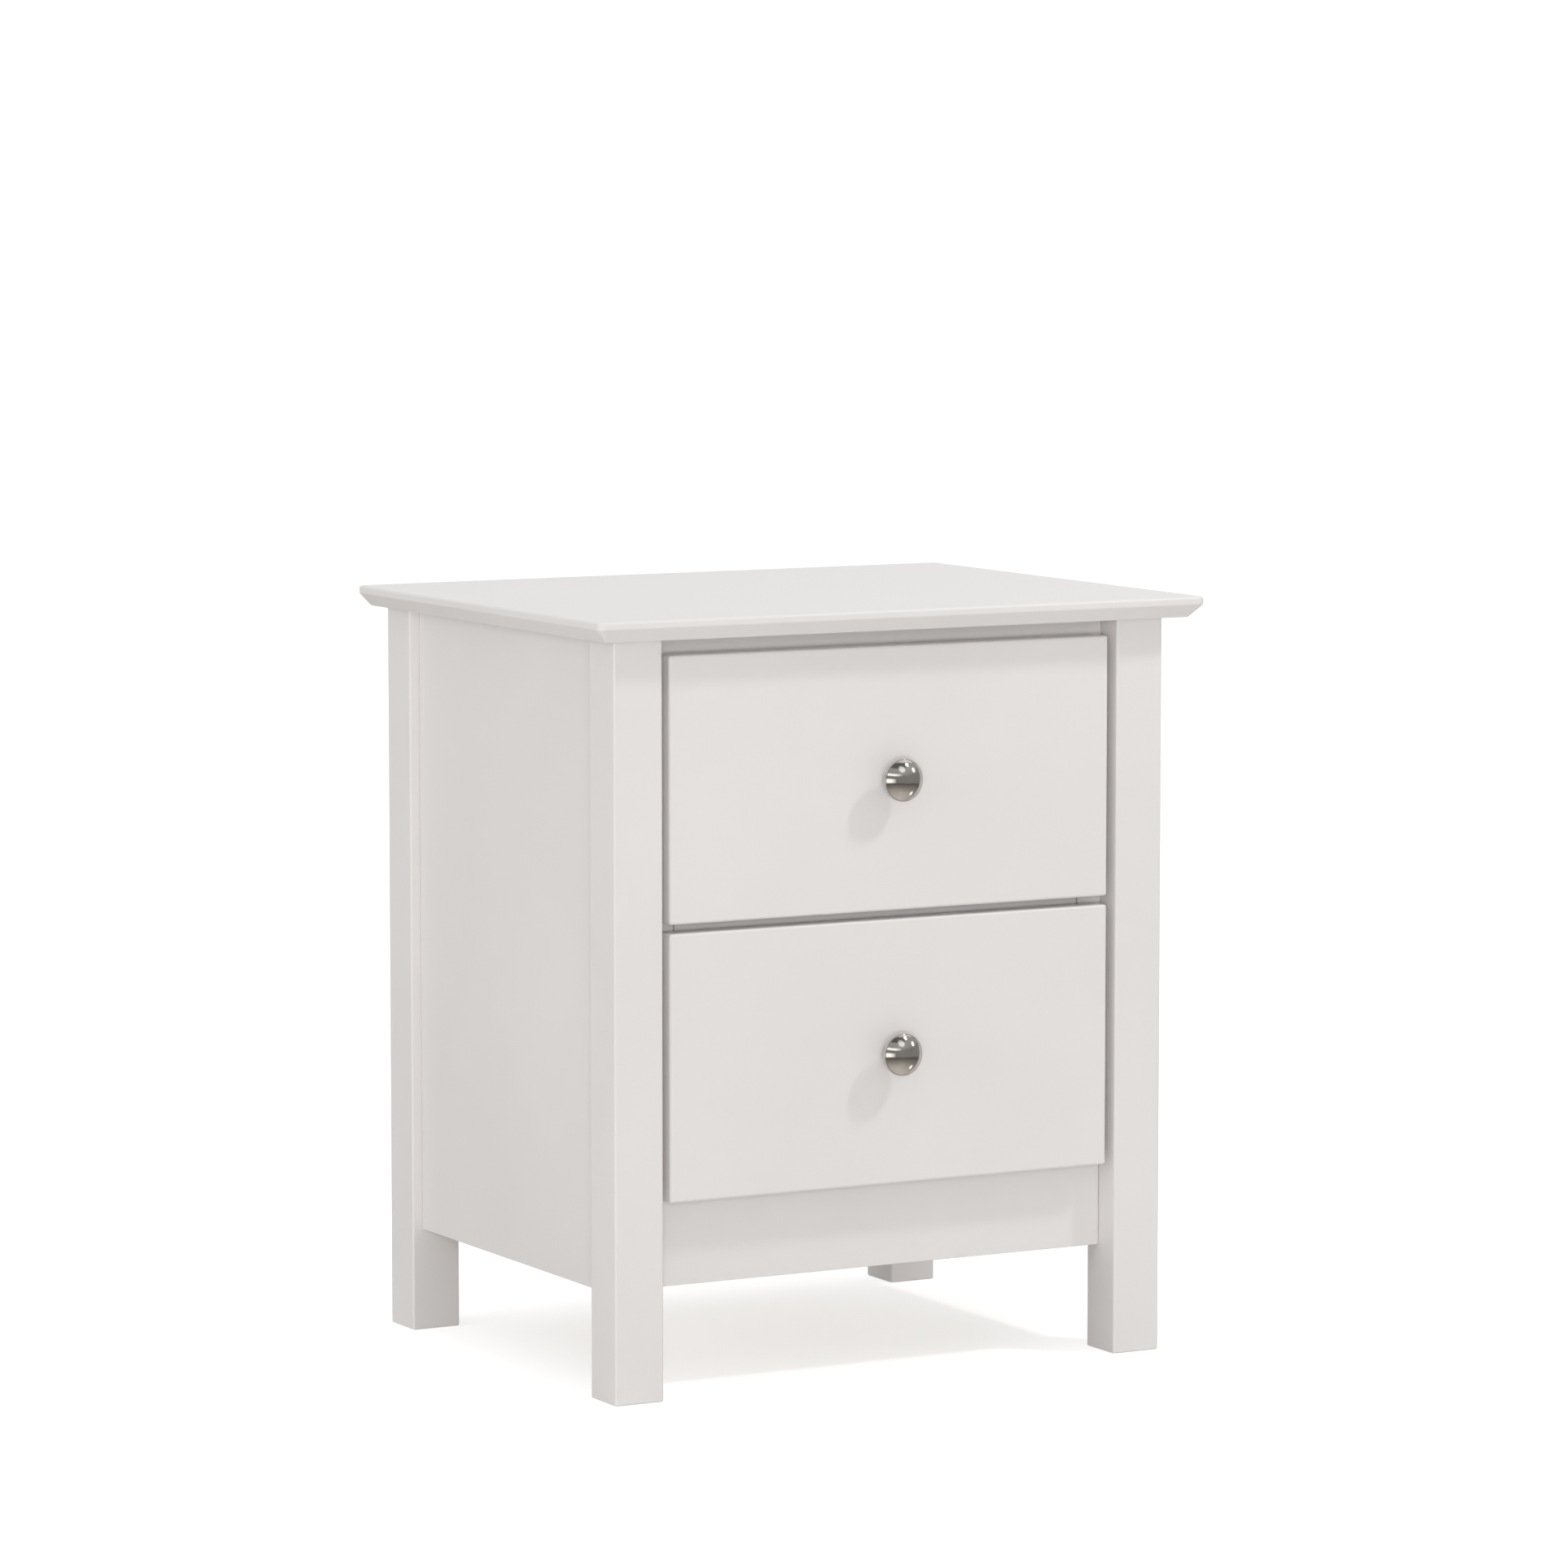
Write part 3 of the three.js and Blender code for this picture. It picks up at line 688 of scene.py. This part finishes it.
def slide_details(level):
    for side, sx in (("left", -1), ("right", 1)):
        lo, hi = box_of(f"slide_inner_{level}_{side}")
        zc = (lo.z + hi.z) / 2
        web = (lo.x if sx > 0 else hi.x) + sx * 1.2 * MM
        body = BODY_OF[f"slide_inner_{level}_{side}"]
        screws(f"slide_screws_{level}_{side}", [((web, lo.y + d * MM, zc), (sx, 0, 0)) for d in (38, 166, 294)],
               body, zinc("screw_steel", (1.0, 0.96, 0.86)), 3.3 * MM, 1.4 * MM)
        # painted shade: thin near-black plates on the inner member's web stand for its punched slots' shaded insides
        bm = bmesh.new()
        for d in (66, 102, 134, 198, 230, 262):
            capsule_plate(bm, web, lo.y + d * MM, zc, (12 if d in (66, 134, 230) else 5) * MM, 4.6 * MM, 0.12 * MM)
        finish_mesh(f"slide_slots_inner_{level}_{side}", bm, hole_shadow(), body, ())

        lo, hi = box_of(f"slide_middle_{level}_{side}")
        face = hi.x if sx > 0 else lo.x
        body = BODY_OF[f"slide_middle_{level}_{side}"]
        # painted shade: thin near-black plates on the middle member stand for its punched slots' shaded insides
        bm = bmesh.new()
        for d in (30, 86, 142, 198, 254, 310):
            capsule_plate(bm, face, lo.y + d * MM, zc, (16 if d in (86, 254) else 6) * MM, 5.4 * MM, 0.12 * MM)
        finish_mesh(f"slide_slots_middle_{level}_{side}", bm, hole_shadow(), body, ())
        opening = 182.5 * MM
        ball_race(f"slide_race_inner_{level}_{side}", sx * (opening - 8.2 * MM), (zc - 14.4 * MM, zc + 14.4 * MM),
                  lo.y + 4 * MM, lo.y + 150 * MM, 1.85 * MM, 2.6 * MM, body)
        ball_race(f"slide_race_outer_{level}_{side}", sx * (opening - 6.6 * MM), (zc - 19.45 * MM, zc + 19.45 * MM),
                  lo.y + 4 * MM, lo.y + 150 * MM, 1.7 * MM, 2.4 * MM, "root")


def drawer_details(level):
    lo, hi = box_of(f"drawer_box_front_{level}")
    body = BODY_OF[f"drawer_box_front_{level}"]
    screws(f"front_screws_{level}", [((x * MM, hi.y, lo.z + z * MM), (0, 1, 0)) for x in (-118, 118) for z in (34, 118)],
           body, zinc("screw_steel", (1.0, 0.96, 0.86)), 3.9 * MM, 1.9 * MM)


def back_details():
    lo, hi = box_of("back_panel")
    places = []
    for x in (-188, -94, 0, 94, 188):
        for z in (lo.z + 20 * MM, hi.z - 20 * MM):
            places.append(((x * MM, hi.y, z), (0, 1, 0)))
    for z in (235, 449):
        for x in (-193, 193):
            places.append(((x * MM, hi.y, z * MM), (0, 1, 0)))
    screws("back_screws", places, "root", zinc("screw_steel", (1.0, 0.96, 0.86)), 3.3 * MM, 1.3 * MM)


# ----------------------------------------------------------------- build it all
make_tabletop()
for n in ("post_front_left", "post_front_right", "post_rear_left", "post_rear_right"):
    make_post(n)
for n in ("side_panel_left", "side_panel_right"):
    board(n, paint("z"), 0.8 * MM, 2)
for n in ("stile_left", "stile_right"):
    board(n, paint("z"), 0.5 * MM, 2)
for n in ("top_rail_front", "middle_rail_front", "bottom_rail_front", "top_rail_rear", "bottom_rail_rear"):
    board(n, paint("x"), 0.6 * MM, 2, ends=0.15 * MM)
board("back_panel", paint("z", 0.985, "_back"), 0.4 * MM, 2)
RAW = ((0.82, 0.68, 0.47), (0.76, 0.60, 0.39), (0.62, 0.45, 0.27))
LACQ = ((0.80, 0.655, 0.455), (0.74, 0.585, 0.385), (0.61, 0.445, 0.265))
for side in ("left", "right"):
    board(f"top_batten_{side}", wood("batten_wood", "y", *RAW, rough=(0.55, 0.72), seed=3.1), 0.8 * MM, 2)
for n in ("top_screw_front_left", "top_screw_rear_left", "top_screw_front_right", "top_screw_rear_right"):
    top_screw(n)
for level in ("upper", "lower"):
    make_front(level)
    make_knob(level)
    knob_screw(level)
    k = 1.7 if level == "upper" else 5.3
    for part, axis, add in (("left", "y", 0.0), ("right", "y", 0.9), ("front", "x", 2.2), ("back", "x", 3.4)):
        board(f"drawer_box_{part}_{level}", wood(f"drawer_wood_{part}_{level}", axis, *LACQ, rough=(0.34, 0.48), seed=k + add), 0.9 * MM, 2)
    board(f"drawer_bottom_{level}", plywood(f"birch_ply_{level}", k), 0.3 * MM, 1)
    for side in ("left", "right"):
        board(f"slide_cleat_{level}_{side}", wood("cleat_wood", "y", *RAW, rough=(0.55, 0.72), seed=8.4), 0.8 * MM, 2)
        node = f"bumper_{level}_{side}"
        lo, hi = box_of(node)
        bm = bmesh.new()
        r = (hi.x - lo.x) / 2
        h = hi.y - lo.y
        prof = [(0, 0), (r, 0), (r, h * 0.25), (r * 0.93, h * 0.55), (r * 0.75, h * 0.82), (r * 0.45, h * 0.96), (0, h)]
        lathe(bm, prof, 32, Matrix.Translation(((lo.x + hi.x) / 2, lo.y, (lo.z + hi.z) / 2)) @ Matrix.Rotation(-math.pi / 2, 4, "X"))
        finish_mesh(node + ".finished", bm, silicone(), BODY_OF[node], (node,), weighted=False)
    make_slides(level)
    slide_details(level)
    drawer_details(level)
back_details()


# -------------------------------------------------------------- stage and light
def stage_floor():
    bm = bmesh.new()
    bmesh.ops.create_grid(bm, x_segments=1, y_segments=1, size=30)
    me = bpy.data.meshes.new("floor")
    bm.to_mesh(me)
    bm.free()
    ob = bpy.data.objects.new("floor", me)
    ob.location = (0, 0, -0.0002)
    bpy.context.scene.collection.objects.link(ob)
    # a pale matt floor, lifted to white where the camera looks straight at it
    mat = bpy.data.materials.new("floor")
    mat.use_nodes = True
    nt = mat.node_tree
    nt.nodes.clear()
    out = nt.nodes.new("ShaderNodeOutputMaterial")
    diffuse = nt.nodes.new("ShaderNodeBsdfDiffuse")
    diffuse.inputs["Color"].default_value = (0.75, 0.74, 0.73, 1)
    glow = nt.nodes.new("ShaderNodeEmission")
    path = nt.nodes.new("ShaderNodeLightPath")
    lift = nt.nodes.new("ShaderNodeMath")
    lift.operation = "MULTIPLY"
    lift.inputs[1].default_value = 0.62
    nt.links.new(path.outputs["Is Camera Ray"], lift.inputs[0])
    nt.links.new(lift.outputs[0], glow.inputs["Strength"])
    both = nt.nodes.new("ShaderNodeAddShader")
    nt.links.new(diffuse.outputs[0], both.inputs[0])
    nt.links.new(glow.outputs[0], both.inputs[1])
    nt.links.new(both.outputs[0], out.inputs["Surface"])
    me.materials.append(mat)
    ob.visible_glossy = False
    return ob


def world():
    w = bpy.data.worlds.new("studio")
    bpy.context.scene.world = w
    w.use_nodes = True
    nt = w.node_tree
    nt.nodes.clear()
    out = nt.nodes.new("ShaderNodeOutputWorld")
    path = nt.nodes.new("ShaderNodeLightPath")
    white = nt.nodes.new("ShaderNodeBackground")
    white.inputs["Color"].default_value = (1, 1, 1, 1)
    white.inputs["Strength"].default_value = 1.02
    fill = nt.nodes.new("ShaderNodeBackground")
    refl = nt.nodes.new("ShaderNodeBackground")
    coords = nt.nodes.new("ShaderNodeTexCoord")

    def dot(direction):
        d = nt.nodes.new("ShaderNodeVectorMath")
        d.operation = "DOT_PRODUCT"
        nt.links.new(coords.outputs["Generated"], d.inputs[0])
        d.inputs[1].default_value = Vector(direction).normalized()
        return d.outputs["Value"]

    def ramp(value, stops):
        r = nt.nodes.new("ShaderNodeValToRGB")
        nt.links.new(value, r.inputs["Fac"])
        els = r.color_ramp.elements
        while len(els) > 1:
            els.remove(els[-1])
        for i, (pos, col) in enumerate(stops):
            e = els[0] if i == 0 else els.new(pos)
            e.position = pos
            e.color = (*col, 1)
        return r.outputs["Color"]

    def half(value):
        m = nt.nodes.new("ShaderNodeMapRange")
        nt.links.new(value, m.inputs["Value"])
        m.inputs["From Min"].default_value = -1
        m.inputs["From Max"].default_value = 1
        return m.outputs["Result"]

    def add(a, b):
        m = nt.nodes.new("ShaderNodeMix")
        m.data_type = "RGBA"
        m.blend_type = "ADD"
        m.inputs[0].default_value = 1.0
        nt.links.new(a, m.inputs[6])
        nt.links.new(b, m.inputs[7])
        return m.outputs[2]

    # light for diffuse surfaces: brighter above, a little brighter from the left
    g = ramp(half(dot((-0.36, 0.16, 0.92))), [(0.0, (0.30, 0.30, 0.30)), (1.0, (0.95, 0.95, 0.955))])
    nt.links.new(g, fill.inputs["Color"])
    fill.inputs["Strength"].default_value = 0.76
    # what gloss sees: a grey room, a bright ceiling, a white backdrop behind, warm floor, window panes on the left
    def mask(direction, a, b, c, d):
        """1 where the ray's share along direction lies between b and c, fading out to a and d."""
        k = lambda v: (v + 1) / 2
        return ramp(half(dot(direction)), [(0.0, (0, 0, 0)), (k(a), (0, 0, 0)), (k(b), (1, 1, 1)), (k(c), (1, 1, 1)), (k(d), (0, 0, 0)), (1.0, (0, 0, 0))])

    def times(*parts):
        out_ = parts[0]
        for other in parts[1:]:
            m = nt.nodes.new("ShaderNodeMix")
            m.data_type = "RGBA"
            m.blend_type = "MULTIPLY"
            m.inputs[0].default_value = 1.0
            nt.links.new(out_, m.inputs[6])
            if isinstance(other, tuple):
                m.inputs[7].default_value = (*other, 1)
            else:
                nt.links.new(other, m.inputs[7])
            out_ = m.outputs[2]
        return out_

    def spot(direction, cos_in, cos_out, colour):
        k = lambda v: (v + 1) / 2
        return ramp(half(dot(direction)), [(0.0, (0, 0, 0)), (k(cos_out), (0, 0, 0)), (k(cos_in), colour), (1.0, colour)])

    def z(v):
        return (v + 1) / 2

    up = ramp(half(dot((0, 0, 1))), [
        (0.0, (0.78, 0.72, 0.685)), (z(-0.80), (0.62, 0.57, 0.54)), (z(-0.60), (0.41, 0.375, 0.355)), (z(-0.36), (0.21, 0.195, 0.185)), (z(-0.26), (0.13, 0.122, 0.117)),
        (z(-0.20), (0.30, 0.292, 0.285)), (z(0.22), (0.30, 0.295, 0.29)), (z(0.40), (0.44, 0.435, 0.43)), (z(0.66), (0.48, 0.48, 0.475)), (z(0.74), (0.14, 0.14, 0.14)), (1.0, (0.16, 0.16, 0.16))])
    back = spot((0.10, 0.50, 0.86), 0.62, 0.53, (0.92, 0.92, 0.915))
    front = mask((0, -1, 0), 0.20, 0.34, 0.98, 0.999)
    pane_high = times(mask((0, 0, 1), 0.25, 0.29, 0.38, 0.42), mask((-1, 0, 0), -0.05, 0.40, 0.88, 0.94), front, (1.35, 1.35, 1.35))
    pane_low = times(mask((0, 0, 1), -0.23, -0.17, 0.02, 0.10), mask((-1, 0, 0), 0.38, 0.64, 0.93, 0.97), front, (1.5, 1.5, 1.5))
    sheet = spot((0.12, -0.75, 0.65), 0.986, 0.970, (0.80, 0.80, 0.79))
    lamp_a = spot((0.84, -0.36, 0.41), 0.9995, 0.9980, (5.0, 5.0, 4.9))
    lamp_b = spot((0.70, -0.24, -0.67), 0.9988, 0.9950, (1.7, 1.68, 1.62))
    nt.links.new(add(add(add(up, back), add(pane_high, pane_low)), add(sheet, add(lamp_a, lamp_b))), refl.inputs["Color"])
    refl.inputs["Strength"].default_value = 1.0

    m1 = nt.nodes.new("ShaderNodeMixShader")
    nt.links.new(path.outputs["Is Glossy Ray"], m1.inputs[0])
    nt.links.new(fill.outputs[0], m1.inputs[1])
    nt.links.new(refl.outputs[0], m1.inputs[2])
    m2 = nt.nodes.new("ShaderNodeMixShader")
    nt.links.new(path.outputs["Is Camera Ray"], m2.inputs[0])
    nt.links.new(m1.outputs[0], m2.inputs[1])
    nt.links.new(white.outputs[0], m2.inputs[2])
    nt.links.new(m2.outputs[0], out.inputs["Surface"])


def area(name, position, target, size, power, colour=(1, 1, 1), size_y=None):
    lamp = bpy.data.lights.new(name, "AREA")
    lamp.shape = "RECTANGLE" if size_y else "DISK"
    lamp.size = size
    if size_y:
        lamp.size_y = size_y
    lamp.energy = power
    lamp.color = colour
    ob = bpy.data.objects.new(name, lamp)
    ob.location = position
    ob.rotation_mode = "QUATERNION"
    ob.rotation_quaternion = (Vector(target) - Vector(position)).to_track_quat("-Z", "Y")
    bpy.context.scene.collection.objects.link(ob)
    return ob


stage_floor()
world()
area("key", (1.51, -1.39, 2.59), (0, 0, 0.40), 0.30, 20.5, (1.0, 0.985, 0.97))
for soft in (area("front_high", (-2.87, -5.45, 1.64), (0, -0.19, 0.35), 0.90, 27.0, (1.0, 0.997, 0.993), 0.30),
             area("front_low", (-2.70, -5.55, 0.30), (0, -0.19, 0.25), 2.2, 82.0, (1.0, 0.997, 0.993), 0.70),
             area("left", (-5.2, -0.6, 1.45), (0, 0, 0.35), 2.6, 38.0, (1.0, 1.0, 1.0), 1.8),
             area("rear", (1.2, 5.6, 1.9), (0, 0, 0.35), 3.0, 26.0, (1.0, 1.0, 1.0), 1.6)):
    soft.visible_glossy = False

cam = bpy.data.cameras.new("camera")
cam.sensor_width = 36.0
cam.lens = 8185.770 * 36.0 / 1932.0
cam.clip_start, cam.clip_end = 0.05, 200.0
cam_ob = bpy.data.objects.new("camera", cam)
yaw, pitch = math.radians(28.6408), math.radians(6.0262)
look = Vector((math.sin(yaw) * math.cos(pitch), math.cos(yaw) * math.cos(pitch), -math.sin(pitch)))
cam_ob.location = (-2.552687, -4.684087, 1.016685)
cam_ob.rotation_mode = "QUATERNION"
cam_ob.rotation_quaternion = look.to_track_quat("-Z", "Y")
bpy.context.scene.collection.objects.link(cam_ob)
bpy.context.scene.camera = cam_ob

scene = bpy.context.scene
scene.view_settings.view_transform = "Standard"
scene.view_settings.look = "None"
scene.view_settings.exposure = 0.0
scene.view_settings.gamma = 1.0

bpy.context.view_layer.update()
